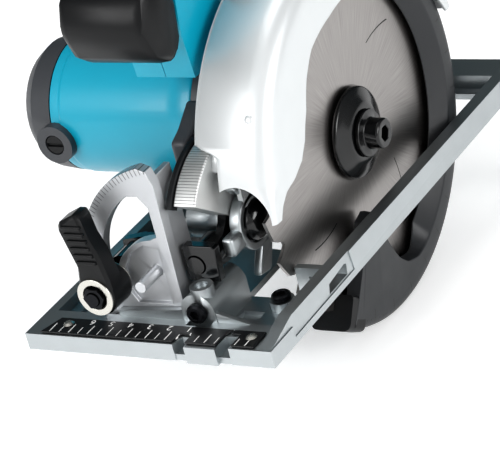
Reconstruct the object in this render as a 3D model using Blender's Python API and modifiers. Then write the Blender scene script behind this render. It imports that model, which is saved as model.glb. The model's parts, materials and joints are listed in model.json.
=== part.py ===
"""Cordless circular saw with a 165 mm blade: every piece its own closed body, at rest, in metres, +Z up.

The origin is the middle of the shoe's sole. The front of the saw is -Y, the blade is on the +X side.
"""
import math

import bmesh
import bpy
from mathutils import Matrix

MM = 0.001

# Blade and spindle
BLADE_R, BLADE_T, TEETH = 82.5, 1.6, 24
BLADE_X, SPIN_Y, SPIN_Z = 42.0, -4.6, 40.7
# Motor, side by side with the spindle
MOTOR_Y, MOTOR_Z, MOTOR_R = -20.0, 62.5, 32.5
BRUSH_X = -82.0
GEAR_R, PINION_R, GEAR_TEETH, PINION_TEETH = 20.02, 6.67, 36, 12
GEAR_LO, GEAR_HI = 9.0, 17.0
# Depth hinge (along X) and bevel hinge (along Y)
DEPTH_Y, DEPTH_Z = -76.1, 36.3
BEVEL_X, BEVEL_Z = 16.0, 30.0
CLAMP_ARC_R, CLAMP_ANGLE = 130.0, 16.0
# Bevel clamp
BOLT_X, BOLT_Z = -22.4, 26.2
# Shoe
SHOE_W, SHOE_FRONT, SHOE_REAR, PLATE_T = 126.0, -135.0, 130.0, 3.0
# Guards
GUARD_R, GUARD_WALL = 88.0, 2.0
CASE_R, CASE_WALL = 93.0, 3.0
GAP = 0.3

SAW = bpy.data.collections.new("circular_saw")
CUTTERS = bpy.data.collections.new("cutters")
MATERIALS = {}


# The castings whose many crossing shapes need the manifold Boolean.
MANIFOLD_PIECES = ("blade_case", "arm")


def clear_scene():
    for obj in list(bpy.data.objects):
        bpy.data.objects.remove(obj, do_unlink=True)
    bpy.context.scene.collection.children.link(SAW)
    bpy.context.scene.collection.children.link(CUTTERS)
    CUTTERS.hide_render = True


def arc(centre, radius, start, end, steps):
    """Points of an arc in degrees, counter-clockwise from the first axis of the plane."""
    turns = [math.radians(start + (end - start) * i / steps) for i in range(steps + 1)]
    return [(centre[0] + radius * math.cos(t), centre[1] + radius * math.sin(t)) for t in turns]


def circle(centre, radius, steps=32):
    return arc(centre, radius, 0, 360, steps)[:-1]


def rectangle(u0, v0, u1, v1):
    return [(u0, v0), (u1, v0), (u1, v1), (u0, v1)]


def to_world(axis):
    """Turns a drawing plane and its thickness into world directions."""
    columns = {
        "x": ((0, 1, 0), (0, 0, 1), (1, 0, 0)),
        "y": ((1, 0, 0), (0, 0, 1), (0, -1, 0)),
        "z": ((1, 0, 0), (0, 1, 0), (0, 0, 1)),
    }[axis]
    return Matrix(columns).transposed().to_4x4()


def new_object(name, mesh, collection=SAW):
    obj = bpy.data.objects.new(name, mesh)
    collection.objects.link(obj)
    return obj


def clean(mesh, turn_out=True):
    """Welds the mesh and, for a fresh shape, turns its faces outwards."""
    work = bmesh.new()
    work.from_mesh(mesh)
    bmesh.ops.remove_doubles(work, verts=work.verts, dist=1e-6)
    if turn_out:
        bmesh.ops.recalc_face_normals(work, faces=work.faces)
        if work.calc_volume(signed=True) < 0:
            bmesh.ops.reverse_faces(work, faces=work.faces)
    work.to_mesh(mesh)
    work.free()


def bake(obj, turn_out=False):
    """Puts the object's modifiers into its mesh."""
    graph = bpy.context.evaluated_depsgraph_get()
    graph.update()
    mesh = bpy.data.meshes.new_from_object(obj.evaluated_get(graph), depsgraph=graph)
    obj.modifiers.clear()
    obj.data = mesh
    clean(mesh, turn_out)
    return obj


def plate(name, axis, lo, hi, outline, holes=()):
    """A flat outline with holes, from lo to hi along one axis."""
    curve = bpy.data.curves.new(name, "CURVE")
    curve.dimensions = "2D"
    curve.fill_mode = "BOTH"
    curve.extrude = abs(hi - lo) / 2 * MM
    for loop in (outline, *holes):
        spline = curve.splines.new("POLY")
        spline.points.add(len(loop) - 1)
        for point, (u, v) in zip(spline.points, loop):
            point.co = (u * MM, v * MM, 0, 1)
        spline.use_cyclic_u = True
    flat = new_object(name + "_outline", curve)
    bpy.context.view_layer.update()
    graph = bpy.context.evaluated_depsgraph_get()
    mesh = bpy.data.meshes.new_from_object(flat.evaluated_get(graph), depsgraph=graph)
    bpy.data.objects.remove(flat, do_unlink=True)
    middle = (lo + hi) / 2 * MM * (-1 if axis == "y" else 1)
    mesh.transform(to_world(axis) @ Matrix.Translation((0, 0, middle)))
    clean(mesh)
    return new_object(name, mesh)


def box(name, lo, hi):
    return plate(name, "z", lo[2], hi[2], rectangle(lo[0], lo[1], hi[0], hi[1]))


def turned(name, axis, centre, profile, steps=32, ring=False):
    """A profile of (radius, place along the axis) turned round an axis; a ring's profile closes on itself."""
    mesh = bpy.data.meshes.new(name)
    points = [(r * MM, 0, h * MM) for r, h in profile]
    edges = [(i, i + 1) for i in range(len(points) - 1)]
    if ring:
        edges.append((len(points) - 1, 0))
    mesh.from_pydata(points, edges, [])
    obj = new_object(name, mesh)
    screw = obj.modifiers.new("turn", "SCREW")
    screw.axis = "Z"
    screw.steps = steps
    screw.render_steps = steps
    screw.use_merge_vertices = True
    screw.merge_threshold = 0.00001
    bake(obj, turn_out=True)
    spin = {
        "x": Matrix(((0, 0, 1), (1, 0, 0), (0, 1, 0))),
        "y": Matrix(((0, 1, 0), (0, 0, 1), (1, 0, 0))),
        "z": Matrix.Identity(3),
    }[axis].to_4x4()
    offset = {"x": (0, *centre), "y": (centre[0], 0, centre[1]), "z": (*centre, 0)}[axis]
    obj.data.transform(Matrix.Translation([v * MM for v in offset]) @ spin)
    clean(obj.data)
    return obj


def rod(name, axis, centre, radius, lo, hi, steps=24):
    return turned(name, axis, centre, [(0, hi), (radius, hi), (radius, lo), (0, lo)], steps)


def tube(name, axis, centre, inner, outer, lo, hi, steps=32):
    profile = [(inner, lo), (outer, lo), (outer, hi), (inner, hi)]
    return turned(name, axis, centre, profile, steps, ring=True)


def boolean(obj, tools, operation):
    for tool in tools:
        change = obj.modifiers.new(operation.lower(), "BOOLEAN")
        change.operation = operation
        change.solver = "MANIFOLD" if obj.name in MANIFOLD_PIECES else "EXACT"
        change.object = tool
        bpy.context.view_layer.update()
        bake(obj)
        bpy.data.objects.remove(tool, do_unlink=True)
    return obj


def cut(obj, *tools):
    return boolean(obj, tools, "DIFFERENCE")


def join(obj, *tools):
    return boolean(obj, tools, "UNION")


def keep(obj, *tools):
    return boolean(obj, tools, "INTERSECT")


def soften(obj, width, segments=1, angle=40):
    bevel = obj.modifiers.new("edges", "BEVEL")
    bevel.width = width * MM
    bevel.segments = segments
    bevel.limit_method = "ANGLE"
    bevel.angle_limit = math.radians(angle)
    split = obj.modifiers.new("triangles", "TRIANGULATE")
    split.min_vertices = 4
    bpy.context.view_layer.update()
    return bake(obj)


def finish(obj, slot, colour, metallic, roughness, pivot=None):
    """Gives the piece its material and, when it moves, an origin on its joint's axis."""
    if slot not in MATERIALS:
        material = bpy.data.materials.new(slot)
        material.use_nodes = True
        shader = material.node_tree.nodes["Principled BSDF"]
        shader.inputs["Base Color"].default_value = (*colour, 1)
        shader.inputs["Metallic"].default_value = metallic
        shader.inputs["Roughness"].default_value = roughness
        MATERIALS[slot] = material
    own = MATERIALS[slot].copy()
    own.name = f"{slot}.{obj.name}"
    obj.data.materials.clear()
    obj.data.materials.append(own)
    if pivot:
        place = Matrix.Translation([v * MM for v in pivot])
        obj.data.transform(place.inverted())
        obj.matrix_world = place
    return obj


def cast(obj, pivot=None):
    return finish(obj, "cast_aluminium", (0.50, 0.53, 0.55), 0.9, 0.42, pivot)


def painted(obj, pivot=None):
    return finish(obj, "white_paint", (0.70, 0.71, 0.72), 0.2, 0.35, pivot)


def black(obj, pivot=None):
    return finish(obj, "black_plastic", (0.012, 0.013, 0.015), 0.0, 0.45, pivot)


def dark_steel(obj, pivot=None):
    return finish(obj, "dark_steel", (0.03, 0.03, 0.032), 0.8, 0.38, pivot)


def zinc(obj, pivot=None):
    return finish(obj, "zinc_steel", (0.62, 0.62, 0.60), 1.0, 0.3, pivot)


def grey(obj, pivot=None):
    return finish(obj, "grey_plastic", (0.045, 0.05, 0.055), 0.0, 0.5, pivot)


def teal(obj, pivot=None):
    return finish(obj, "teal_plastic", (0.0, 0.36, 0.45), 0.0, 0.35, pivot)


# ---------------------------------------------------------------- shoe and bevel


def notched_front():
    """The front beam's outline, with the two sighting notches and the tongue between them."""
    f, b = SHOE_FRONT, SHOE_FRONT + 20
    left, right = -SHOE_W / 2, SHOE_W / 2
    steps = [(left, f), (14, f), (16, f + 6), (20.5, f + 6), (20.5, f - 1.5), (36, f - 1.5)]
    return steps + [(36, f + 9), (42, f + 9), (42, f), (right, f), (right, b), (left, b)]


def shoe():
    w = SHOE_W / 2
    opening = [(4.5, -45), (23, -47), (23, -86), (49, -86), (54.5, -62), (54.5, 106), (30, 106), (30, 84), (4.5, 84)]
    obj = plate("shoe", "z", 0, PLATE_T, rectangle(-w, SHOE_FRONT + 0.5, w, SHOE_REAR), [opening])
    beam = cut(plate("beam", "z", 0, 8, notched_front()), box("clear", (12, -119.8, 3), (24, -116, 9)))
    left_rail = box("left_rail", (-w, SHOE_FRONT + 19, 0), (-w + 5, SHOE_REAR, 8))
    rear = box("rear_beam", (-w, SHOE_REAR - 18, 0), (w, SHOE_REAR, 10))
    side = [(SHOE_FRONT + 2, 0), (SHOE_FRONT + 2, 8), (-114, 12.8), (-59, 12.8), (112, 12), (SHOE_REAR - 1, 10), (SHOE_REAR - 1, 0)]
    right_rail = plate("right_rail", "x", 56.4, w - 0.6, side)
    rear_side = [(-59, 0), (-60.5, 12.8), (112, 12), (SHOE_REAR - 1, 10), (SHOE_REAR - 1, 0)]
    outer_rail = plate("outer_rail", "x", 57, w, rear_side)
    rib = plate("rib", "y", -116, -113.5, [(-24, 2), (-24, 11), (8, 13), (18, 15), (46, 7), (46, 2)])
    lug = rod("lug", "y", (18, 13), 8.4, -116.4, -88, 24)
    foot = box("foot", (9.6, -116.4, 1), (26.4, -88, 13))
    boss = rod("boss", "z", (45, -92.5), 5.6, 1, 7, 20)
    ring = rod("ring", "z", (19.5, -111.4), 5.3, 15, 23.6, 20)
    cross = box("cross_rib", (43.6, -76, 1), (57, -72.5, 12.5))
    post = plate("post", "y", 88, 95, [(5, 1), (27, 1), (24, 30), (21, 37), (16, 39), (11, 37), (8, 30)])
    join(obj, beam, left_rail, rear, right_rail, outer_rail, rib, lug, foot, boss, ring, cross, post)
    pockets = [box("relief", (-52, -108, 1.2), (-8, -60, 9)), box("well", (28, -111, 1.2), (38.5, -98, 9))]
    pin_hole = rod("pin_hole", "y", (BEVEL_X, BEVEL_Z), 4.3, 80, 100)
    window = plate("window", "x", 50, 70, [(-82, 3.8), (-65, 3.8), (-64, 8.6), (-66, 9.4), (-80.6, 8)])
    ring_hole = rod("ring_hole", "z", (19.5, -111.4), 3.1, 22, 26, 16)
    screw_hole = rod("screw_hole", "y", (18, 13), 3.3, -120, -98, 16)
    fence_hole = rod("fence_hole", "z", (45, -92.5), 2.8, 3.5, 12, 16)
    cut(obj, *pockets, pin_hole, window, ring_hole, screw_hole, fence_hole)
    return cast(obj)


def scales():
    top, front = 8 + GAP, SHOE_FRONT
    left = plate("scale_left", "z", top, top + 0.8, [(-55, front + 1), (13.6, front + 1), (15.4, front + 7), (20.2, front + 7), (20.2, front + 0.6), (35.6, front + 0.6), (35.6, front + 8.4), (38, front + 13), (-51, front + 13)])
    right = plate("scale_right", "z", top, top + 0.8, [(43, front + 1), (54, front + 1), (54, front + 13), (38.6, front + 13), (38.6, front + 10), (43, front + 10)])
    for obj, x in ((left, -44.0), (right, 49.5)):
        cut(obj, rod("rivet_hole", "z", (x, front + 8), 2.0, 6, 12, 16))
    for name, x in (("scale_rivet_left", -44.0), ("scale_rivet_right", 49.5)):
        dome = [(0, 10.6), (1.6, 10.3), (2.6, 9.4), (1.7, 9.35), (1.7, top), (0, top)]
        zinc(turned(name, "z", (x, front + 8), dome, 16))
    black(left)
    black(right)


def quadrant():
    """The bevel quadrant: a broad arc with a window, a hub below it and a deep flange down its right side."""
    c = (BEVEL_X, BEVEL_Z)
    outline = [(9.2, 3.6), (9.2, 24), (10.2, 72), (8, 78.5), *arc(c, 51.6, 104, 190, 22), (-33, 3.6), (-26, 3.6), (-23, 8), (-4, 8), (0, 3.6)]
    outer = [(4.5, 61), (0.5, 66.5), *arc(c, 42, 120, 196, 18)]
    hub = arc((3, 20), 25.5, 193, 95, 12) + [(4.5, 47)]
    obj = plate("bevel_quadrant", "y", -113.1, -107.5, outline, [outer + hub])
    slot = arc(c, 41.9, 132, 194.5, 16) + arc(c, 35.2, 194.5, 132, 16)
    flange = plate("flange", "y", -108.5, -95, [(8.6, 3.6), (8.6, 74), (5.6, 74), (4.4, 24), (4.4, 3.6)])
    cut(obj, plate("slot", "y", -115, -105, slot))
    join(obj, flange)
    cut(obj, plate("recess", "y", -114, -111.0, [(3.6, 14), (3.6, 41), (-4, 42.5), (-12, 38), (-16.5, 30), (-17.5, 20), (-14, 14)]))
    join(obj, rod("peg", "y", (-1, 29.5), 2.7, -126, -110, 16))
    return cast(obj)


def hinge_plate():
    """The fixed steel plate beside the quadrant that carries the front bevel pin."""
    outline = [(10.9, 21.9), (26, 21.9), (27, 38), (25.5, 39.2), (10.9, 39.2)]
    obj = plate("bevel_hinge_plate", "y", -106, -101.4, outline)
    cut(obj, rod("pin_hole", "y", (BEVEL_X, BEVEL_Z), 4.25, -110, -98))
    return black(obj)


def bevel_pins():
    for name, lo, hi in (("bevel_pin_front", -106.5, -89.5), ("bevel_pin_rear", 79.5, 96)):
        zinc(rod(name, "y", (BEVEL_X, BEVEL_Z), 4.0, lo, hi, 20))


def socket_screw(name, axis, centre, head_r, shaft_r, top, under, end):
    """A button-headed screw with a hexagonal socket, its head at top and its tip at end."""
    step = 1 if top > end else -1
    profile = [(0, top), (head_r * 0.8, top), (head_r, top - 0.8 * step), (head_r, under), (shaft_r, under), (shaft_r, end), (0, end)]
    obj = turned(name, axis, centre, profile, 20)
    low, high = sorted((top - 2.2 * step, top + step))
    return cut(obj, plate("socket", axis, low, high, circle(centre, head_r * 0.5, 6)))


def tilt_bracket():
    """The front bracket that tilts: bevel barrel, arm to the clamp bolt and the eye for the depth pin."""
    c = (BEVEL_X, BEVEL_Z)
    barrel = rod("tilt_bracket", "y", c, 6.9, -100.8, -88.6)
    eye = plate("eye", "x", 18.0, 22.0, [(-100.5, 25), (-100.5, 34), (-90, 36.4), *arc((DEPTH_Y, DEPTH_Z), 10.5, 160, -90, 14), (-90, 23.5)])
    arm = plate("arm", "y", -93.4, -88.8, [(19, 24), (19, 33), (0, 33.5), (-19, 35), (-29, 33), (-31, 21), (-26, 17), (-18, 17), (0, 21)])
    seat = rod("seat", "y", (BOLT_X, BOLT_Z), 6.8, -106.8, -90)
    join(barrel, eye, arm, seat)
    cut(barrel, rod("bore", "y", c, 4.3, -105, -80), rod("pin_bore", "x", (DEPTH_Y, DEPTH_Z), 4.3, 10, 30))
    cut(barrel, rod("bolt_bore", "y", (BOLT_X, BOLT_Z), 3.4, -110, -80))
    return black(barrel)


def bevel_clamp():
    """Bolt, washer, lever and nut that clamp the bracket to the quadrant."""
    c = (BOLT_X, BOLT_Z)
    bolt = [(0, -133), (3, -133), (3, -88.3), (6, -88.3), (6, -85), (0, -85)]
    zinc(turned("bevel_bolt", "y", c, bolt, 20))
    zinc(tube("bevel_washer", "y", c, 3.4, 8, -115.3, -113.4, 28))
    lever = turned("bevel_lever", "y", c, [(3.4, -115.7), (9.6, -115.7), (10, -117), (9.2, -129), (8, -130.4), (3.4, -130.4)], 28, ring=True)
    arm = plate("arm", "y", -130, -119.5, [(-31.5, 24), (-28.5, 40), (-33, 59), (-31, 62), (-22.5, 66), (-20, 64.5), (-18.5, 54), (-15.5, 46), (-13.5, 34), (-13.5, 22), (-18, 17), (-27, 17)])
    bar = turned("hub_bore", "y", c, [(0, -110), (5.6, -110), (5.6, -135), (0, -135)], 20)
    join(lever, soften(arm, 1.6))
    cut(lever, bar)
    black(lever, pivot=(BOLT_X, -122, BOLT_Z))
    nut = plate("bevel_nut", "y", -132.4, -126, circle(c, 5.3, 6), [circle(c, 3.3, 16)])
    dark_steel(nut, pivot=(BOLT_X, -122, BOLT_Z))


def depth_guide():
    """The rear bracket: a plate whose arc slot is centred on the depth hinge, and its own bevel barrel."""
    c, r = (DEPTH_Y, DEPTH_Z), CLAMP_ARC_R
    outline = arc(c, r + 8, 0, 49, 16) + arc(c, r - 8, 49, 6, 12) + [(38, 30), (46, 23.5), (86.5, 23.5), (86.5, 36)]
    slot = arc(c, r + 3.5, 1, 47, 14) + arc(c, r - 3.5, 47, 1, 14)
    obj = plate("depth_guide", "x", 22, 25.4, outline, [slot])
    barrel = rod("barrel", "y", (BEVEL_X, BEVEL_Z), 6.9, 78, 86.5)
    join(obj, barrel)
    cut(obj, rod("bore", "y", (BEVEL_X, BEVEL_Z), 4.3, 70, 90))
    return dark_steel(obj)


# ---------------------------------------------------------------- body


def blade_case():
    """The painted casting: blade cover, shoulder, front arm, depth sector and the two depth lugs."""
    c, p = (SPIN_Y, SPIN_Z), (DEPTH_Y, DEPTH_Z)
    inner_r = CASE_R - CASE_WALL
    band = plate("blade_case", "x", 28.5, 55, arc(c, CASE_R, 12, 177, 44) + arc(c, inner_r, 177, 12, 40))
    wall = plate("wall", "x", 28.7, 31, arc(c, CASE_R - 2.2, 14.5, 173, 33) + [(-70, 43), (-34, 12), (30, 12)], [circle(c, 24)])
    edge = [(-86.6, 5.2), (-83.5, 9.7), (-78, 13.8), (-69.8, 15.2), (-61.3, 19.2), (-55.3, 25.7), (-48.9, 36.8), (-43.2, 48.3)]
    edge += [(-34, 58), (-14, 64), (20, 64), (50, 54), (72, 38)]
    lip = [(c[0] + y, c[1] + z) for y, z in edge]
    face = plate("face", "x", 52.8, 54.9, arc(c, CASE_R - 1.6, 21, 174, 31) + lip)
    shoulder = plate("shoulder", "x", 17.6, 29.6, arc(c, CASE_R - 1.8, 98, 152, 15) + arc(c, 68, 152, 98, 12))
    sector = plate("sector", "x", 14, 25, [(-75, 35.1)] + arc(p, 40, 61, 144, 17))
    arm = plate("arm", "x", 17.9, 30.1, [(-74, 50), (-90, 64), (-88, 72), (-50, 104), (-20, 102), (-22, 86), (-44, 66), (-50, 36), (-62, 34)])
    barrel = rod("barrel", "x", p, 9, 0, 17.4, 26)
    tie = plate("tie", "x", 6.3, 17.1, [(-77.3, 37.9), (-86, 62), (-70, 70), (-60, 60), (-64, 34)])
    lug = plate("lug", "x", 24.7, 31, circle(p, 13.5, 32))
    web = plate("web", "x", 24.9, 30.4, [(-84, 44), (-88, 56), (-58, 61), (-52, 34), (-62, 26), (-70, 26)])
    tab = box("tab", (25.1, -98, 29), (30.6, -86, 38))
    fin = plate("fin", "x", 27, 31, [(-84, 12), (-74, 10), (-66, 28), (-74, 28)])
    join(arm, sector, lug, barrel, tie, web, tab, fin)
    join(band, shoulder, wall, face, arm)
    scallop = rod("scallop", "y", (38, 47), 14.5, -110, -84, 28)
    free = plate("free", "x", 17.2, 25.3, circle(p, 17, 27))
    cut(band, scallop, free, rod("pin_bore", "x", p, 4.3, -5, 21, 18), rod("head_bore", "x", p, 9.9, 22, 35, 29))
    join(band, rod("clamp_boss", "x", clamp_point(), 8, 25.8, 29.5, 24))
    cut(band, rod("clamp_bore", "x", clamp_point(), 3.3, 20, 30.2, 16))
    return painted(band)


def sector_band():
    """The dark band beside the depth sector."""
    p = (DEPTH_Y, DEPTH_Z)
    return finish(plate("sector_band", "x", 10.6, 13.7, arc(p, 41, 88, 146, 16) + arc(p, 35.5, 146, 88, 14)), "rubber", (0.02, 0.022, 0.025), 0.0, 0.6)


def clamp_point():
    turn = math.radians(CLAMP_ANGLE)
    return (DEPTH_Y + CLAMP_ARC_R * math.cos(turn), DEPTH_Z + CLAMP_ARC_R * math.sin(turn))


def gear_housing():
    """The gear case between the motor and the blade cover, hollow for the two gears."""
    m, c = (MOTOR_Y, MOTOR_Z), (SPIN_Y, SPIN_Z)
    obj = rod("gear_housing", "x", m, 34.5, -5.6, 28.2, 40)
    nose = rod("nose", "x", c, 23.8, 6.5, 28.2, 36)
    collar = rod("collar", "x", c, 21, 27, 33.5, 36)
    ear = rod("lock_ear", "x", (22, 62.5), 7, 8, 20, 20)
    web = box("web", (9, 6, 57), (19, 23, 68))
    join(obj, nose, collar, web, ear)
    clear = [(-100, 40), (-100, 110), (-49.6, 104.6), (-19.6, 102.5), (-21.7, 85.8), (-43.6, 65.8), (-49.6, 35.8), (-62, 28)]
    cut(obj, plate("clear_arm", "x", 17.3, 30, clear), rod("clear_barrel", "x", (DEPTH_Y, DEPTH_Z), 39.5, 5.7, 30, 40))
    cut(obj, rod("gear_room", "x", c, 21.8, 8.3, 24.3, 36), rod("pinion_room", "x", m, 9.8, -6, 24.3, 28))
    cut(obj, rod("bearing_room", "x", c, 13.3, 20, 40, 28), rod("lock_bore", "x", (22, 62.5), 3.4, -30, 30, 16))
    return grey(obj)


def motor_shells():
    m, z = (MOTOR_Y, MOTOR_Z), MOTOR_Z - 4
    r = MOTOR_R
    shell = [(29.2, -6.2), (r + 1, -6.2), (r + 1, -13), (r, -18), (r - 0.6, -84), (29.2, -84)]
    housing = turned("motor_housing", "x", m, shell, 40, ring=True)
    cut(housing, rod("notch", "y", (BRUSH_X, z), 9.9, -60, 20, 28))
    teal(housing)
    cap = [(0, -103.5), (18, -103.5), (26, -101.5), (30.6, -95.5), (r - 0.6, -84.4), (27, -84.4), (27, -96.5), (8.3, -96.5)]
    cap += [(8.3, -99.6), (0, -99.6)]
    obj = turned("motor_end_cap", "x", m, cap, 40)
    join(obj, rod("lobe_front", "y", (BRUSH_X, z), 9.4, -56, -28, 24), rod("lobe_rear", "y", (BRUSH_X, z), 9.4, -12, 16, 24))
    cut(obj, rod("room", "x", m, 26.7, -96.3, -66, 36))
    for lo, hi in ((-60, -42), (2, 20)):
        cut(obj, rod("brush_bore", "y", (BRUSH_X, z), 5.0, lo, hi, 20))
    return grey(obj)


def brushes():
    z = MOTOR_Z - 4
    for side, cap_lo, cap_hi, lo, hi in (("front", -55.8, -50.5, -50.2, -30.4), ("rear", 10.5, 15.8, -9.6, 10.2)):
        cap = rod(f"brush_cap_{side}", "y", (BRUSH_X, z), 4.7, cap_lo, cap_hi, 20)
        slot_lo, slot_hi = (cap_lo - 1, cap_lo + 1.4) if side == "front" else (cap_hi - 1.4, cap_hi + 1)
        cut(cap, box("slot", (BRUSH_X - 5, slot_lo, z - 0.8), (BRUSH_X + 5, slot_hi, z + 0.8)))
        black(cap)
        brush = box(f"carbon_brush_{side}", (BRUSH_X - 1.9, lo, z - 2.4), (BRUSH_X + 1.9, hi, z + 2.4))
        finish(brush, "carbon", (0.02, 0.02, 0.02), 0.2, 0.6)


def motor_inside():
    m = (MOTOR_Y, MOTOR_Z)
    stator = tube("stator", "x", m, 19, 28.8, -70, -38, 36)
    finish(stator, "lamination", (0.10, 0.10, 0.11), 0.8, 0.5)
    shaft = [(0, -98.8), (3, -98.8), (3, -92.6), (8.9, -92.6), (8.9, -76), (12, -75), (17.5, -70), (17.5, -38), (13, -34), (3.5, -32)]
    shaft += [(3.5, 7.6), (0, 7.6)]
    armature = turned("armature", "x", m, shaft, 24)
    finish(armature, "copper", (0.45, 0.17, 0.07), 0.9, 0.35, pivot=(0, MOTOR_Y, MOTOR_Z))
    fan = turned("motor_fan", "x", m, [(3.8, -24), (26, -24), (26, -22), (9, -21), (8, -14), (3.8, -14)], 32, ring=True)
    blades = [plate(f"vane{i}", "x", -23, -15, vane(i)) for i in range(8)]
    join(fan, *blades)
    grey(fan, pivot=(0, MOTOR_Y, MOTOR_Z))
    steel_ring("motor_bearing_front", m, 3.8, 9.5, -5.2, 1.2)
    steel_ring("motor_bearing_rear", m, 3.3, 8.0, -99.3, -94.2)


def vane(i):
    turn = math.radians(45 * i)
    along, across = (math.cos(turn), math.sin(turn)), (-math.sin(turn), math.cos(turn))
    corners = ((6, -0.7), (25.5, -0.7), (25.5, 0.7), (6, 0.7))
    return [(MOTOR_Y + a * along[0] + b * across[0], MOTOR_Z + a * along[1] + b * across[1]) for a, b in corners]


def steel_ring(name, centre, inner, outer, lo, hi):
    zinc(tube(name, "x", centre, inner, outer, lo, hi, 24))


def toothed(centre, pitch_r, teeth, start):
    """A gear's outline, with a tooth pointing at the start angle."""
    points = []
    for i in range(teeth):
        middle = start + 2 * math.pi * i / teeth
        for radius, share in ((pitch_r - 1.2, -0.30), (pitch_r + 0.75, -0.13), (pitch_r + 0.75, 0.13), (pitch_r - 1.2, 0.30)):
            turn = middle + share * 2 * math.pi / teeth
            points.append((centre[0] + radius * math.cos(turn), centre[1] + radius * math.sin(turn)))
    return points


def gears():
    m, c = (MOTOR_Y, MOTOR_Z), (SPIN_Y, SPIN_Z)
    line = math.atan2(m[1] - c[1], m[0] - c[0])
    wheel = plate("gear_wheel", "x", GEAR_LO, GEAR_HI, toothed(c, GEAR_R, GEAR_TEETH, line), [circle(c, 6.3, 24)])
    zinc(wheel, pivot=(0, SPIN_Y, SPIN_Z))
    half = math.pi / PINION_TEETH
    pinion = plate("pinion", "x", 8.4, 17.6, toothed(m, PINION_R, PINION_TEETH, line + math.pi + half), [circle(m, 2.8, 16)])
    pinion_neck = 7.9
    shaft = [(0, 19.4), (2.5, 19.4), (2.5, pinion_neck), (0, pinion_neck)]
    zinc(pinion, pivot=(0, MOTOR_Y, MOTOR_Z))
    tip = turned("pinion_pin", "x", m, shaft, 16)
    zinc(tip, pivot=(0, MOTOR_Y, MOTOR_Z))


def spindle_parts():
    c = (SPIN_Y, SPIN_Z)
    body = [(0, 8.6), (6, 8.6), (6, 34.0), (7.6, 34.0), (7.6, 46), (0, 46)]
    spindle = turned("spindle", "x", c, body, 24)
    cut(spindle, rod("thread", "x", c, 3.3, 36, 47, 16))
    zinc(spindle, pivot=(0, SPIN_Y, SPIN_Z))
    steel_ring("spindle_bearing", c, 6.3, 13.0, 24.6, 31.0)
    inner = turned("inner_flange", "x", c, [(7.9, 34.6), (18, 34.6), (20, 36.5), (20, 40.8), (7.9, 40.8)], 32, ring=True)
    dark_steel(inner, pivot=(0, SPIN_Y, SPIN_Z))
    outer = turned("outer_flange", "x", c, [(7.9, 43.2), (19, 43.2), (21, 44.8), (21, 46.6), (16, 48.6), (12.5, 50.2), (7.9, 50.2)], 36, ring=True)
    dark_steel(outer, pivot=(0, SPIN_Y, SPIN_Z))
    bolt = [(0, 60), (6.2, 60), (7, 59.2), (7, 52.8), (11, 52.4), (11, 50.6), (7.3, 50.6), (7.3, 46.4), (3, 46.4), (3, 37), (0, 37)]
    obj = turned("blade_bolt", "x", c, bolt, 24)
    cut(obj, plate("socket", "x", 54, 62, circle(c, 3.6, 6)))
    dark_steel(obj, pivot=(0, SPIN_Y, SPIN_Z))


def blade():
    c = (SPIN_Y, SPIN_Z)
    points = []
    for i in range(TEETH):
        base = math.radians(6.7 + 360.0 * i / TEETH)
        for radius, turn in ((BLADE_R, 0.0), (BLADE_R - 1.6, 2.4), (BLADE_R - 3.2, 8.6), (BLADE_R - 7.5, 10.5), (BLADE_R - 8.2, 12.4), (BLADE_R - 5, 14.2)):
            t = base + math.radians(turn)
            points.append((c[0] + radius * math.cos(t), c[1] + radius * math.sin(t)))
    slots = [slit(c, 30 + 90 * i) for i in range(4)]
    obj = plate("blade", "x", BLADE_X - BLADE_T / 2, BLADE_X + BLADE_T / 2, points, [circle(c, 7.9, 24), *slots])
    return finish(obj, "blade_steel", (0.42, 0.42, 0.42), 1.0, 0.32, pivot=(0, SPIN_Y, SPIN_Z))


def slit(c, angle):
    return arc(c, 62.4, angle, angle + 14, 6) + arc(c, 61.6, angle + 14, angle, 6)


def guard():
    """The swinging guard: rim, motor-side plate on the collar and the outer window plate, with a front block."""
    c, r = (SPIN_Y, SPIN_Z), GUARD_R
    lo, hi = -125, 45
    rim = plate("lower_guard", "x", 32.5, 52.4, arc(c, r, lo, hi, 44) + arc(c, r - GUARD_WALL, hi, lo, 40))
    plate_in = plate("plate_in", "x", 32.7, 34.4, arc(c, r - 0.6, lo + 8, hi, 32) + arc(c, 30, hi, lo + 8, 14))
    hub = tube("hub", "x", c, 21.6, 32, 32.5, 34.2, 36)
    inner = [(26, -31.5), (12, -32.5), (2, -29.5), (-4, -24), (-9, -15), (-14.5, 5.5), (-18, 7), (-25, 5)]
    face = plate("face", "x", 50.4, 52.2, arc(c, r - 0.6, lo + 1, hi - 1, 40) + arc(c, 76, hi - 1, -58, 24) + inner)
    block = plate("block", "x", 32.5, 52.4, arc(c, r + 1.6, lo, lo + 7, 4) + arc(c, 72, lo + 7, lo, 3))
    join(rim, plate_in, hub, face, block)
    cut(rim, rod("blade_way", "x", c, BLADE_R + 1.2, 39, 45, 48))
    grey(rim, pivot=(0, SPIN_Y, SPIN_Z))


def guard_fittings():
    c = (SPIN_Y, SPIN_Z)
    coil = tube("guard_spring", "x", c, 21.9, 24.6, 31.2, 32.2, 32)
    finish(coil, "spring_steel", (0.2, 0.2, 0.2), 1.0, 0.4)


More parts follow.
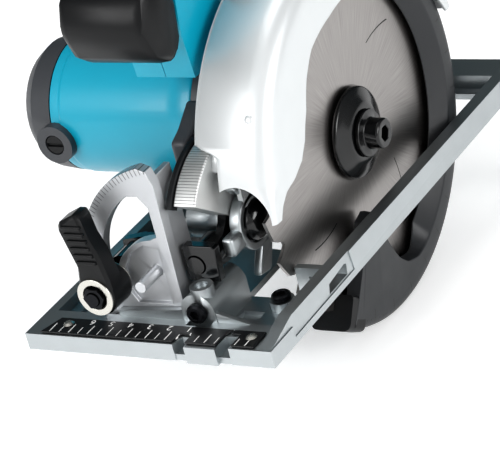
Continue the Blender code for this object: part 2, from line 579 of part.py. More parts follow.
def depth_fittings():
    p, k = (DEPTH_Y, DEPTH_Z), clamp_point()
    pin = [(0, 36.4), (4.5, 36.0), (7.6, 34.6), (9.4, 32.2), (9.5, 25.6), (4, 25.6), (4, -1.5), (0, -1.5)]
    dark_steel(turned("depth_pin", "x", p, pin, 28))
    bolt = [(0, 30.0), (3, 30.0), (3, 10), (0, 10)]
    zinc(turned("depth_bolt", "x", k, bolt, 16))
    lever = turned("depth_lever", "x", k, [(3.3, 21.6), (8, 21.6), (8, 13), (6, 12), (3.3, 12)], 24, ring=True)
    arm = plate("arm", "x", 13, 20, [(k[0] - 6, k[1] - 5), (k[0] + 6, k[1] - 5), (k[0] + 7, k[1] + 36), (k[0] - 1, k[1] + 38)])
    join(lever, arm)
    cut(lever, rod("bore", "x", k, 3.3, 5, 25, 16))
    black(lever, pivot=(16, k[0], k[1]))


# ---------------------------------------------------------------- handle and battery


HANDLE_X = -3.0


def handle_outline():
    outer = [(-66, 99), (-68, 120), (-64, 146), (-50, 172), (-28, 186), (0, 188), (32, 176), (64, 156), (92, 138), (104, 130)]
    outer += [(104, 122), (52, 122), (46, 112), (30, 99)]
    inner = [(-34, 118), (-40, 138), (-32, 156), (-14, 162), (6, 158), (42, 138), (40, 130), (18, 118)]
    return outer, inner


def handle():
    outer, inner = handle_outline()
    left = plate("handle_left", "x", HANDLE_X - 15, HANDLE_X - GAP / 2, outer, [inner])
    room = box("room", (HANDLE_X - 8.5, -18, 162.7), (HANDLE_X + 8.5, 14, 168.7))
    trigger_way = box("trigger_way", (HANDLE_X - 6.5, -39, 130), (HANDLE_X + 6.5, -14, 168.2))
    cut(left, join(room, trigger_way), rod("lock_way", "x", (-36, 176), 4.4, HANDLE_X - 20, HANDLE_X + 20, 20))
    right = new_object("handle_right", left.data.copy())
    flip = Matrix.Translation((HANDLE_X * MM, 0, 0)) @ Matrix.Scale(-1, 4, (1, 0, 0)) @ Matrix.Translation((-HANDLE_X * MM, 0, 0))
    right.data.transform(flip)
    clean(right.data)
    teal(left)
    teal(right)
    foot = box("battery_rail", (-34, 52, 113.8), (20, 104, 121.7))
    black(foot)


def controls():
    trigger = plate("trigger", "x", HANDLE_X - 6, HANDLE_X + 6, [(-37.5, 157), (-33, 146), (-27, 139), (-24, 141), (-27, 150), (-20, 158), (-19, 163), (-28, 166)])
    finish(soften(trigger, 1.2), "trigger_grey", (0.02, 0.02, 0.022), 0.0, 0.45, pivot=(HANDLE_X, -20, 162))
    button = rod("lock_off", "x", (-36, 176), 4.1, HANDLE_X - 19, HANDLE_X + 19, 20)
    black(button, pivot=(HANDLE_X, -36, 176))
    black(box("switch", (HANDLE_X - 8, -15, 163.4), (HANDLE_X + 8, 10, 168)))
    lock = [(0, -6), (6, -6), (6, 3), (3.1, 3), (3.1, 21.5), (0, 21.5)]
    black(turned("shaft_lock", "x", (22, MOTOR_Z), lock, 20), pivot=(7, 22, MOTOR_Z))


def front_grip():
    grip = plate("front_grip", "x", -22, 22, [(-102, 126), (-107, 139), (-102, 152), (-90, 158), (-79, 152), (-77, 140), (-80, 122), (-90, 117)])
    soften(grip, 5, 2)
    arm = box("stem", (-10, -84, 124), (8, -67.9, 142))
    join(grip, arm)
    black(grip)


def battery():
    case = box("battery_case", (-46, 66, 62), (24, 142, 110))
    soften(case, 4, 2)
    cut(case, box("cells_room", (-42, 70, 58), (20, 138, 104)))
    rail = plate("rail", "y", 60, 108, [(-30, 109), (-30, 113.2), (16, 113.2), (16, 109)])
    join(case, rail)
    cut(case, box("button_way", (-20, 136, 90), (-2, 144, 100)))
    black(case, pivot=(-11, 66, 112))
    cells = box("battery_cells", (-41, 71, 64), (19, 135, 103))
    soften(cells, 6, 2)
    finish(cells, "cell_wrap", (0.05, 0.12, 0.3), 0.0, 0.4, pivot=(-11, 66, 112))
    button = box("battery_button", (-19.6, 137, 90.4), (-2.4, 144.5, 99.6))
    finish(button, "red_plastic", (0.4, 0.02, 0.02), 0.0, 0.4, pivot=(-11, 140, 95))


def small_parts():
    dark_steel(socket_screw("quadrant_screw", "y", (18, 13), 4.6, 3.0, -119.6, -116.7, -99))
    dark_steel(socket_screw("fence_screw", "z", (45, -92.5), 4.4, 2.5, 10.0, 7.3, 4.0))
    for i, (y, z) in enumerate(((-55, 112), (38, 106))):
        black(rod(f"handle_screw_{i + 1}", "x", (y, z), 3, HANDLE_X - 17, HANDLE_X - 15.3, 16))


def main():
    clear_scene()
    shoe()
    scales()
    quadrant()
    hinge_plate()
    bevel_pins()
    tilt_bracket()
    bevel_clamp()
    depth_guide()
    blade_case()
    sector_band()
    gear_housing()
    motor_shells()
    brushes()
    motor_inside()
    gears()
    spindle_parts()
    blade()
    guard()
    guard_fittings()
    depth_fittings()
    handle()
    controls()
    front_grip()
    battery()
    small_parts()


main()
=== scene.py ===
"""The look of the cordless circular saw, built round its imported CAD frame."""

import json
import math

import bmesh
import bpy
import numpy as np
from mathutils import Matrix, Vector


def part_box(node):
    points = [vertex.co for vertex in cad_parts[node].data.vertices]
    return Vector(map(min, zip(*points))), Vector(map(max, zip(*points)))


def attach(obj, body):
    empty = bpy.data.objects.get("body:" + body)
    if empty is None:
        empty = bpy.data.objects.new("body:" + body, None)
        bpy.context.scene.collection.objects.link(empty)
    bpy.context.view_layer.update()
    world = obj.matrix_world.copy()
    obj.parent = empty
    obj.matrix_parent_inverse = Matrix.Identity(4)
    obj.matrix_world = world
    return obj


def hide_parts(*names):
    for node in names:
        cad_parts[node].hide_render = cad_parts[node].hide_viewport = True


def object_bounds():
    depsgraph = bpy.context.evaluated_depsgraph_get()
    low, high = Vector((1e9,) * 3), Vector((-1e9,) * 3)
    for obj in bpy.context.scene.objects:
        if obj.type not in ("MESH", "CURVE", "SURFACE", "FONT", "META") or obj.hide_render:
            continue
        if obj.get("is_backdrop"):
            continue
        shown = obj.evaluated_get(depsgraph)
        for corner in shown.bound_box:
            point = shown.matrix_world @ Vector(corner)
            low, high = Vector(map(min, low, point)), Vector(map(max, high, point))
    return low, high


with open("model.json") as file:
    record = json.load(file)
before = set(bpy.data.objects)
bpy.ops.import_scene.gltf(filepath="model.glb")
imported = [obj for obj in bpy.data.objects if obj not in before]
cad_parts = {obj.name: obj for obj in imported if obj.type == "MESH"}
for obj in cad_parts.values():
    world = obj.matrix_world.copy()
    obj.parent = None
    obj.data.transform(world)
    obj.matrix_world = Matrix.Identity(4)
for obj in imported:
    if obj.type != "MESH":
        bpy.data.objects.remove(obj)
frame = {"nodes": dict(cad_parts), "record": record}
SIZE = {"start": [list(map(float, corner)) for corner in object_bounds()]}

MM = 0.001
# Axes of the saw in millimetres: (y, z) for the first three, (x, z) for the last two.
SPIN = (-4.6, 40.7)
MOTOR = (-20.0, 62.5)
DEPTH = (-76.1, 36.3)
BEVEL = (16.0, 30.0)
CLAMP = (-22.4, 26.2)

BLADE_RADIUS = 82.5
BLADE_BORE = 7.9
BLADE_MIDDLE = 42.0
BLADE_HALF = 0.8
TEETH = 24


# ---------------------------------------------------------------- materials


def linear(code):
    """A hex sRGB colour as linear RGBA."""
    values = [int(code[i : i + 2], 16) / 255 for i in (1, 3, 5)]
    return tuple(v / 12.92 if v <= 0.04045 else ((v + 0.055) / 1.055) ** 2.4 for v in values) + (1.0,)


def feed(tree, node, values):
    """Sets each socket of the node to a constant, or links it to another node's output."""
    for key, value in values.items():
        if isinstance(value, bpy.types.NodeSocket):
            tree.links.new(value, node.inputs[key])
        else:
            node.inputs[key].default_value = value


def add(tree, kind, values=(), **settings):
    """A node with its settings, as its outputs. values maps sockets to what feeds them, or lists them in order."""
    made = tree.nodes.new("ShaderNode" + kind)
    for key, value in settings.items():
        setattr(made, key, value)
    feed(tree, made, values if isinstance(values, dict) else dict(enumerate(values)))
    return made.outputs


def material(name):
    """A new material: (material, tree, its Principled node, the object's coordinates)."""
    made = bpy.data.materials.new(name)
    made.use_nodes = True
    tree = made.node_tree
    shader = next(n for n in tree.nodes if n.type == "BSDF_PRINCIPLED")
    return made, tree, shader, add(tree, "TexCoord")["Object"]


def polar(tree, where, centre, across=1):
    """(radius in mm, angle in turns) about centre, in the plane of Z and the axis numbered across."""
    axes = add(tree, "SeparateXYZ", (where,))
    side = add(tree, "Math", (axes[across], centre[0] * MM), operation="SUBTRACT")[0]
    rise = add(tree, "Math", (axes[2], centre[1] * MM), operation="SUBTRACT")[0]
    squares = [add(tree, "Math", (v, v), operation="MULTIPLY")[0] for v in (side, rise)]
    length = add(tree, "Math", (add(tree, "Math", squares, operation="ADD")[0],), operation="SQRT")[0]
    radius = add(tree, "Math", (length, 1 / MM), operation="MULTIPLY")[0]
    angle = add(tree, "Math", (rise, side), operation="ARCTAN2")[0]
    return radius, add(tree, "Math", (angle, 2 * math.pi), operation="DIVIDE")[0]


def band(tree, value, lo, hi):
    """1 where value lies between lo and hi."""
    above = add(tree, "Math", (value, lo), operation="GREATER_THAN")[0]
    below = add(tree, "Math", (value, hi), operation="LESS_THAN")[0]
    return add(tree, "Math", (above, below), operation="MULTIPLY")[0]


def ticks(tree, value, pitch, width, beside, lo, hi):
    """1 on lines of that width, repeated at the pitch, where beside lies between lo and hi."""
    fold = add(tree, "Math", (value, pitch / 2), operation="PINGPONG")[0]
    line = add(tree, "Math", (fold, width / 2), operation="LESS_THAN")[0]
    return add(tree, "Math", (line, band(tree, beside, lo, hi)), operation="MULTIPLY")[0]


def finish(name, colour, metallic, rough, grain_mm, depth_mm, spread=0.08, coat=0.0, shade=0.0):
    """A plain surface with its own grain, uneven gloss and slight shifts of colour."""
    made, tree, shader, where = material(name)
    fine = add(tree, "TexNoise", {"Vector": where, "Scale": 1 / (grain_mm * MM), "Detail": 2.0})[0]
    broad = add(tree, "TexNoise", {"Vector": where, "Scale": 1 / (14.0 * MM), "Detail": 3.0})[0]
    tint = linear(colour)
    dark = tuple(v * (1 - shade) for v in tint[:3]) + (1.0,)
    feed(tree, shader, {
        "Base Color": add(tree, "Mix", {0: broad, 6: tint, 7: dark}, data_type="RGBA")[2],
        "Metallic": metallic,
        "Roughness": add(tree, "MapRange", {"Value": broad, "To Min": rough - spread, "To Max": rough + spread})[0],
        "Coat Weight": coat,
        "Coat Roughness": 0.08,
        "Normal": add(tree, "Bump", {"Height": fine, "Distance": depth_mm * MM, "Strength": 1.0})[0],
    })
    # Near-black plastic with a full reflection would read as grey.
    if metallic < 0.1 and max(tint[:3]) < 0.02:
        shader.inputs["Specular IOR Level"].default_value = 0.3
    return made


def blade_steel():
    """Ground steel: fine streaks out from the centre, so the light fans across the disc, with thin laser-cut slots and
    a painted shade ring at the flange's edge.
    """
    made, tree, shader, where = material("ground blade steel")
    radius, turns = polar(tree, where, SPIN)
    around = add(tree, "Math", (turns, 700.0), operation="MULTIPLY")[0]
    out = add(tree, "Math", (radius, 0.05), operation="MULTIPLY")[0]
    streak = add(tree, "CombineXYZ", (around, out, 0.0))[0]
    lines = add(tree, "TexNoise", {"Vector": streak, "Scale": 1.0, "Detail": 4.0})[0]
    # The four slots lean a little as they go out.
    beyond = add(tree, "Math", (radius, 40.0), operation="SUBTRACT")[0]
    bend = add(tree, "Math", (beyond, 0.0022), operation="MULTIPLY")[0]
    shift = add(tree, "Math", (bend, 0.118), operation="ADD")[0]
    leaning = add(tree, "Math", (turns, shift), operation="ADD")[0]
    slots = ticks(tree, leaning, 0.25, 0.0022, radius, 42.0, 60.0)
    # The dark band from 20 to 21.5 mm radius lies at the flange's edge: it is painted shade where the flange meets the
    # blade.
    ring = add(tree, "Math", (band(tree, radius, 20.0, 21.5), 0.4), operation="MULTIPLY")[0]
    slots_and_flange_shade = add(tree, "Math", (slots, ring), operation="MAXIMUM")[0]
    steel = add(tree, "Mix", {0: lines, 6: linear("#b5b1af"), 7: linear("#878482")}, data_type="RGBA")[2]
    feed(tree, shader, {
        "Base Color": add(tree, "Mix", {0: slots_and_flange_shade, 6: steel, 7: linear("#1c1c1e")}, data_type="RGBA")[2],
        "Metallic": 1.0,
        "Roughness": add(tree, "MapRange", {"Value": lines, "To Min": 0.24, "To Max": 0.40})[0],
        "Anisotropic": 0.5,
        "Normal": add(tree, "Bump", {"Height": lines, "Distance": 0.05 * MM, "Strength": 0.5})[0],
    })
    return made


def guard_grey():
    """Dark satin moulding, with the depth marks sunk in its face as short radial lines, coloured darker as painted
    shade in them.
    """
    made, tree, shader, where = material("dark guard moulding")
    radius, turns = polar(tree, where, SPIN)
    x = add(tree, "SeparateXYZ", (where,))[0]
    short = ticks(tree, turns, 0.00694, 0.0011, radius, 83.6, 86.4)
    long = ticks(tree, turns, 0.0347, 0.0013, radius, 79.5, 86.4)
    both = add(tree, "Math", (short, long), operation="MAXIMUM")[0]
    face = add(tree, "Math", (x, 51.2 * MM), operation="GREATER_THAN")[0]
    marks = add(tree, "Math", (both, face), operation="MULTIPLY")[0]
    fine = add(tree, "TexNoise", {"Vector": where, "Scale": 1 / (0.5 * MM), "Detail": 2.0})[0]
    broad = add(tree, "TexNoise", {"Vector": where, "Scale": 1 / (10.0 * MM), "Detail": 2.0})[0]
    low = add(tree, "Math", (fine, 0.1), operation="MULTIPLY")[0]
    height = add(tree, "Math", (low, marks), operation="SUBTRACT")[0]
    feed(tree, shader, {
        # The sunk marks are also coloured darker: painted shade in the grooves.
        "Base Color": add(tree, "Mix", {0: marks, 6: linear("#222427"), 7: linear("#08090a")}, data_type="RGBA")[2],
        "Roughness": add(tree, "MapRange", {"Value": broad, "To Min": 0.36, "To Max": 0.5})[0],
        "Normal": add(tree, "Bump", {"Height": height, "Distance": 0.2 * MM, "Strength": 1.0})[0],
    })
    return made


def scale_black():
    """Black plate with white rip marks: a line each half centimetre, and a longer one each centimetre."""
    made, tree, shader, where = material("printed rip scale")
    axes = add(tree, "SeparateXYZ", (where,))
    x, y = (
        add(tree, "Math", (add(tree, "Math", (axis, start), operation="ADD")[0], 1 / MM), operation="MULTIPLY")[0]
        for axis, start in ((axes[0], 0.0005), (axes[1], 0.135))
    )
    five = ticks(tree, x, 5.0, 0.4, y, 1.6, 6.4)
    ten = ticks(tree, x, 10.0, 0.5, y, 1.6, 8.2)
    marks = add(tree, "Math", (five, ten), operation="MAXIMUM")[0]
    fine = add(tree, "TexNoise", {"Vector": where, "Scale": 1 / (0.3 * MM), "Detail": 2.0})[0]
    broad = add(tree, "TexNoise", {"Vector": where, "Scale": 1 / (4.0 * MM), "Detail": 2.0})[0]
    feed(tree, shader, {
        "Base Color": add(tree, "Mix", {0: marks, 6: linear("#0d0e10"), 7: linear("#e8e8e6")}, data_type="RGBA")[2],
        "Roughness": add(tree, "MapRange", {"Value": broad, "To Min": 0.3, "To Max": 0.42})[0],
        "Normal": add(tree, "Bump", {"Height": fine, "Distance": 0.01 * MM, "Strength": 1.0})[0],
    })
    return made


def graduated(name, colour, rough, centre, across, inner, step):
    """A light casting whose outer rim, beyond the inner radius, has fine graduation lines sunk in it, coloured darker
    as painted shade in them.
    """
    made, tree, shader, where = material(name)
    radius, turns = polar(tree, where, centre, across)
    marks = ticks(tree, turns, step, step * 0.22, radius, inner, 1000.0)
    # The sunk lines are coloured darker: painted shade in the grooves.
    sunk_line_shade = add(tree, "Math", (marks, 0.7), operation="MULTIPLY")[0]
    fine = add(tree, "TexNoise", {"Vector": where, "Scale": 1 / (0.35 * MM), "Detail": 2.0})[0]
    broad = add(tree, "TexNoise", {"Vector": where, "Scale": 1 / (12.0 * MM), "Detail": 2.0})[0]
    low = add(tree, "Math", (fine, 0.25), operation="MULTIPLY")[0]
    height = add(tree, "Math", (low, marks), operation="SUBTRACT")[0]
    feed(tree, shader, {
        "Base Color": add(tree, "Mix", {0: sunk_line_shade, 6: linear(colour), 7: linear("#4a4b4c")}, data_type="RGBA")[2],
        "Metallic": 0.8,
        "Roughness": add(tree, "MapRange", {"Value": broad, "To Min": rough - 0.05, "To Max": rough + 0.06})[0],
        "Normal": add(tree, "Bump", {"Height": height, "Distance": 0.2 * MM, "Strength": 1.0})[0],
    })
    return made


# The grain of paint and of moulded plastic is really finer than this. It is drawn coarser so that it shows.

# Sand casting: a soft grey metal with a pebbled skin and uneven gloss.
CAST = finish("sand-cast aluminium", "#b9bec0", 1.0, 0.35, 0.35, 0.06, 0.06, 0, 0.12)
# Machined casting: a lighter satin metal with a line every 2.5 degrees.
QUADRANT = graduated("satin cast quadrant", "#c4c6c9", 0.38, BEVEL, 0, 48.3, 2.5 / 360)
# Machined casting: the palest metal, with a line every 2 degrees.
SECTOR = graduated("graduated sector", "#d6d7d6", 0.40, DEPTH, 1, 39.4, 2.0 / 360)
# Sprayed paint with some metal in it: nearly white, with broad soft highlights under a thin clear coat.
PAINT = finish("silver-white paint", "#d2d5d6", 0.35, 0.36, 0.25, 0.012, 0.04, 0.3, 0.05)
# Glass-filled nylon from a polished mould: a strong even teal with clear highlights.
TEAL = finish("glossy teal nylon", "#06a2bd", 0.0, 0.34, 0.35, 0.01, 0.04, 0.2, 0.06)
# The same plastic from a plainer mould: duller, and mid grey.
GREY = finish("dark grey nylon", "#3f4145", 0.0, 0.42, 0.4, 0.02, 0.05, 0, 0.1)
# Near-black plastic whose highlights are soft.
BLACK = finish("moulded black nylon", "#0b0c0e", 0.0, 0.36, 0.4, 0.02, 0.06, 0, 0.1)
# Oiled black steel: deep black with tight bright highlights.
GLOSS = finish("black oxide steel", "#08090b", 0.2, 0.18, 0.6, 0.01, 0.05, 0.3, 0.1)
# Plated screws, pins and springs: a bright metal, a little warm.
ZINC = finish("bright zinc steel", "#cfcdc6", 1.0, 0.26, 0.5, 0.01, 0.06, 0, 0.08)
# Phosphated steel: a dark metal with a dull sheen.
DARK = finish("dark phosphated steel", "#232427", 0.9, 0.34, 0.5, 0.01, 0.06, 0, 0.1)
# Rubber: dark grey, with almost no highlight.
RUBBER = finish("black rubber", "#15171a", 0.0, 0.52, 0.5, 0.03, 0.05, 0, 0.1)
# Varnished wire: a brown-orange metal with a soft shine.
COPPER = finish("enamelled copper", "#b36a35", 0.9, 0.35, 0.4, 0.03, 0.05, 0, 0.2)
# Shrunk plastic film: a dull dark blue.
CELLS = finish("blue cell wrap", "#27425c", 0.0, 0.4, 0.5, 0.01, 0.05, 0, 0.1)
# Moulded nylon in a plain strong red.
RED = finish("red nylon", "#a8181c", 0.0, 0.35, 0.4, 0.01, 0.05, 0, 0.1)
# Screen ink: flat white.
WHITE = finish("white print", "#f0f0ee", 0.0, 0.4, 0.5, 0.003, 0.03)
BLADE = blade_steel()
GUARD = guard_grey()
SCALE = scale_black()

BY_SLOT = {
    "cast_aluminium": CAST, "white_paint": PAINT, "black_plastic": BLACK, "dark_steel": DARK, "zinc_steel": ZINC,
    "grey_plastic": GREY, "teal_plastic": TEAL, "carbon": RUBBER, "lamination": DARK, "copper": COPPER,
    "blade_steel": BLADE, "spring_steel": ZINC, "trigger_grey": BLACK, "cell_wrap": CELLS, "red_plastic": RED,
    "rubber": RUBBER,
}
# Pieces whose finish isn't their slot's.
FINISH_OF = {
    "bevel_quadrant": QUADRANT, "scale_left": SCALE, "scale_right": SCALE, "outer_flange": GLOSS, "depth_pin": GLOSS,
    "tilt_bracket": GLOSS, "bevel_hinge_plate": GLOSS, "lower_guard": GUARD, "blade_bolt": GLOSS,
    "bevel_pin_front": GLOSS, "bevel_pin_rear": GLOSS, "bevel_bolt": DARK,
}
SLOT_OF = {entry["node"]: entry["material_slot"] for entry in frame["record"]["subparts"]}
BODY_OF = {node: body for body, nodes in frame["record"]["behaviour"]["bodies"].items() for node in nodes}


def finish_of(node):
    """The finish a CAD node wears: its own, or its slot's."""
    return FINISH_OF.get(node, BY_SLOT[SLOT_OF[node]])


# ---------------------------------------------------------------- surfaces


def add_piece(mesh, node, name, surface):
    """An object that wears one finish and rides on the node's body."""
    obj = bpy.data.objects.new(name, mesh)
    bpy.context.scene.collection.objects.link(obj)
    mesh.materials.clear()
    mesh.materials.append(surface)
    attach(obj, BODY_OF[node])
    return obj


def outward(mesh):
    """Turns a closed mesh's faces to point out."""
    work = bmesh.new()
    work.from_mesh(mesh)
    bmesh.ops.remove_doubles(work, verts=work.verts, dist=1e-7)
    bmesh.ops.recalc_face_normals(work, faces=work.faces)
    if work.calc_volume(signed=True) < 0:
        bmesh.ops.reverse_faces(work, faces=work.faces)
    work.to_mesh(mesh)
    work.free()


def grid(name, points, node, surface, sharp=40, ring=False):
    """A closed piece from a grid of points: the second index runs round a loop. The ends are capped, or meet if ring."""
    rows, cols = points.shape[:2]
    index = np.arange(rows * cols).reshape(rows, cols)
    following = np.roll(index, -1, axis=1)
    if ring:
        low, high = index, np.roll(index, -1, axis=0)
        low_next, high_next = following, np.roll(following, -1, axis=0)
    else:
        low, high, low_next, high_next = index[:-1], index[1:], following[:-1], following[1:]
    faces = np.stack([low, low_next, high_next, high], axis=-1).reshape(-1, 4).tolist()
    if not ring:
        faces += [index[0, ::-1].tolist(), index[-1].tolist()]
    mesh = bpy.data.meshes.new(name)
    mesh.from_pydata((points.reshape(-1, 3) * MM).tolist(), [], faces)
    outward(mesh)
    mesh.shade_smooth()
    mesh.set_sharp_from_angle(angle=math.radians(sharp))
    return add_piece(mesh, node, name, surface)


def rounded(corners, radii, steps=5):
    """A closed outline with rounded corners: each is a quadratic curve between points set back along its two edges."""
    at = np.array(corners, float)
    back = at - np.roll(at, 1, axis=0)
    ahead = np.roll(at, -1, axis=0) - at
    long_back = np.linalg.norm(back, axis=1, keepdims=True)
    long_ahead = np.linalg.norm(ahead, axis=1, keepdims=True)
    size = np.minimum(np.array(radii, float).reshape(-1, 1), long_back * 0.48)
    size = np.minimum(size, long_ahead * 0.48)
    first, last = at - back / long_back * size, at + ahead / long_ahead * size
    t = np.linspace(0, 1, steps)[None, :, None]
    curve = (1 - t) ** 2 * first[:, None] + 2 * t * (1 - t) * at[:, None] + t**2 * last[:, None]
    return curve.reshape(-1, 2)


def about_x(x, radius, turn, centre):
    """Points round the X axis through centre: y and z are the centre plus the radius times cosine and sine."""
    y, z = centre[0] + radius * np.cos(turn), centre[1] + radius * np.sin(turn)
    return np.stack(np.broadcast_arrays(x, y, z), axis=-1)


def turned_x(name, centre, profile, node, surface, steps=128, sharp=40):
    """A profile of (radius, x) turned once round the X axis through centre."""
    profile = np.array(profile, float)
    turn = np.linspace(0, 2 * np.pi, steps, endpoint=False)[:, None]
    points = about_x(profile[None, :, 1], profile[None, :, 0], turn, centre)
    return grid(name, points, node, surface, sharp, ring=True)


def swept_x(name, centre, angles, profiles, node, surface, sharp=40, ring=False):
    """A closed (x, radius) outline for each angle in degrees, carried round the X axis through centre."""
    points = about_x(profiles[..., 0], profiles[..., 1], np.radians(angles)[:, None], centre)
    return grid(name, points, node, surface, sharp, ring)


def softened(node, width):
    """The CAD node with its split points merged, then small rounds on its sharp edges so that they catch the light."""
    source = frame["nodes"][node]
    mesh = source.data.copy()
    mesh.transform(source.matrix_world)
    work = bmesh.new()
    work.from_mesh(mesh)
    bmesh.ops.remove_doubles(work, verts=work.verts, dist=1e-6)
    bmesh.ops.dissolve_limit(work, angle_limit=math.radians(1.0), verts=work.verts, edges=work.edges)
    work.to_mesh(mesh)
    work.free()
    piece = add_piece(mesh, node, f"{node}_soft", finish_of(node))
    mesh.shade_smooth()
    mesh.set_sharp_from_angle(angle=math.radians(35))
    rounds = piece.modifiers.new("rounds", "BEVEL")
    rounds.width = width * MM
    rounds.segments = 2
    rounds.limit_method = "ANGLE"
    rounds.angle_limit = math.radians(35)
    rounds.harden_normals = True
    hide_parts(node)


def slab(name, outline, lo, hi, round_mm, node, surface, corner=2.0, axis="x"):
    """A flat outline between lo and hi along an axis. Near each end it shrinks along its normals by a quarter circle."""
    loop = rounded(outline, [corner] * len(outline), 4)
    ahead, back = np.roll(loop, -1, axis=0), np.roll(loop, 1, axis=0)
    along = ahead - back
    normal = np.stack([along[:, 1], -along[:, 0]], axis=1)
    normal /= np.maximum(np.linalg.norm(normal, axis=1, keepdims=True), 1e-6)
    area = np.sum(loop[:, 0] * ahead[:, 1] - ahead[:, 0] * loop[:, 1])
    normal *= 1 if area > 0 else -1
    t = np.linspace(0, np.pi / 2, 5)
    inset = np.concatenate([round_mm * (1 - np.sin(t)), round_mm * (1 - np.sin(t[::-1]))])
    level = np.concatenate([lo + round_mm * (1 - np.cos(t)), hi - round_mm * (1 - np.cos(t[::-1]))])
    flat = loop[None] - normal[None] * inset[:, None, None]
    first, last = flat[..., 0], flat[..., 1]
    height = np.broadcast_to(level[:, None], flat.shape[:2])
    order = (height, first, last) if axis == "x" else (first, height, last)
    return grid(name, np.stack(order, axis=-1), node, surface, 50)


def between(angles, *pairs):
    """The value at each angle, on straight lines between (angle, value) pairs."""
    return np.interp(angles, *zip(*pairs))


def smooth(value):
    """An even ease from 0 to 1: three times the square less twice the cube."""
    value = np.clip(value, 0, 1)
    return value * value * (3 - 2 * value)


def carve(obj, low, high, radius):
    """Cuts a round hole along Y through the piece, then keeps only the finished mesh."""
    tool_mesh = bpy.data.meshes.new("carver")
    sides = 64
    turn = np.linspace(0, 2 * np.pi, sides, endpoint=False)
    ring = np.stack([radius * np.cos(turn), np.zeros(sides), radius * np.sin(turn)], axis=-1)
    points = np.concatenate([ring + low, ring + high]) * MM
    index = np.arange(sides)
    following = np.roll(index, -1)
    walls = np.stack([index, following, following + sides, index + sides], axis=-1).tolist()
    tool_mesh.from_pydata(points.tolist(), [], walls + [index[::-1].tolist(), (index + sides).tolist()])
    outward(tool_mesh)
    tool = bpy.data.objects.new("carver", tool_mesh)
    bpy.context.scene.collection.objects.link(tool)
    change = obj.modifiers.new("scallop", "BOOLEAN")
    change.object = tool
    change.solver = "EXACT"
    graph = bpy.context.evaluated_depsgraph_get()
    result = bpy.data.meshes.new_from_object(obj.evaluated_get(graph))
    obj.modifiers.clear()
    obj.data = result
    bpy.data.objects.remove(tool)
    result.set_sharp_from_angle(angle=math.radians(40))


# ---------------------------------------------------------------- pieces


def saw_blade():
    """The disc: each angle's radius is the blade's less a gullet that opens steeply before each tooth tip."""
    angles = np.linspace(0, 360, TEETH * 36, endpoint=False)
    share_of_tooth = (angles * TEETH / 360) % 1.0
    gullet = between(share_of_tooth, (0, 0), (0.5, 2.2), (0.62, 4.6), (0.74, 8.2), (0.86, 8.4), (0.95, 4.5), (1.0, 0))
    share = np.linspace(0, 1, 14) ** 0.6
    radius = BLADE_BORE + (BLADE_RADIUS - gullet[:, None] - BLADE_BORE) * share[None, :]
    half = np.full_like(radius, BLADE_HALF)
    right = np.stack([BLADE_MIDDLE + half, radius], -1)
    left = np.stack([BLADE_MIDDLE - half, radius], -1)[:, ::-1]
    swept_x("blade_disc", SPIN, angles, np.concatenate([right, left], axis=1), "blade", BLADE, 35, ring=True)


def outer_flange():
    """The clamping flange: a broad dished rim rising to a domed hub."""
    corners = [(5.2, 43.2), (19, 43.2), (21, 44.8), (21, 46.6), (16, 48.6), (12.5, 50.2), (5.2, 50.2)]
    outline = rounded(corners, [0.2, 0.8, 1.2, 1.6, 3, 1.6, 0.3])
    turned_x("outer_flange_disc", SPIN, outline, "outer_flange", GLOSS, 96, 50)


def motor_shell():
    """The teal barrel: a turned skin with a raised shoulder at the gear end and a shallow ring near the cap."""
    corners = [(29.3, -6.3), (33.4, -6.3), (33.4, -13), (32.5, -18), (32.5, -78), (31.9, -79), (31.9, -84), (29.3, -84)]
    outline = rounded(corners, [0.2, 1.5, 2, 3, 0.6, 0.6, 0.6, 0.2])
    turned_x("motor_skin", MOTOR, outline, "motor_housing", TEAL, 144, 50)


def guard_skin():
    """The guard: at each angle a thin outline of rim, face ring, inward cone and inner plate, open at the window."""
    angles = np.linspace(-124.5, 45, 170)
    window = between(
        angles, (-124.5, 84), (-122, 60), (-119.7, 41), (-111.7, 36.4), (-105.7, 36.8),
        (-94.5, 56), (-89.5, 64.7), (-84.6, 70.5), (-77, 75), (-70, 76),
    )
    cone = window - between(angles, (-74, 0.8), (-66, 8.0))
    hub = between(angles, (-124.5, 84), (-119, 60), (-116, 31))
    rows = []
    for edge, tip, low in zip(window, cone, hub):
        outer = [(32.6, low), (32.6, 87.9), (52.4, 87.9), (52.4, edge), (46.2, tip)]
        inner = [(45.6, tip), (50.4, edge + 0.9), (50.4, 85.6), (34.4, 85.6), (34.4, low)]
        rows.append(rounded(outer + inner, [0.3, 1.5, 5.5, 0.8, 0.2, 0.2, 0.3, 2.0, 0.5, 0.3], 6))
    swept_x("guard_skin", SPIN, angles, np.array(rows), "lower_guard", GUARD, 40)
    angles = np.linspace(-127.5, -118.5, 8)
    lip = rounded([(32.4, 73), (32.4, 89.4), (52.3, 89.4), (52.3, 73)], [2, 3, 4, 2], 6)
    swept_x("guard_lip", SPIN, angles, np.repeat(lip[None], 8, axis=0), "lower_guard", BLACK, 50)


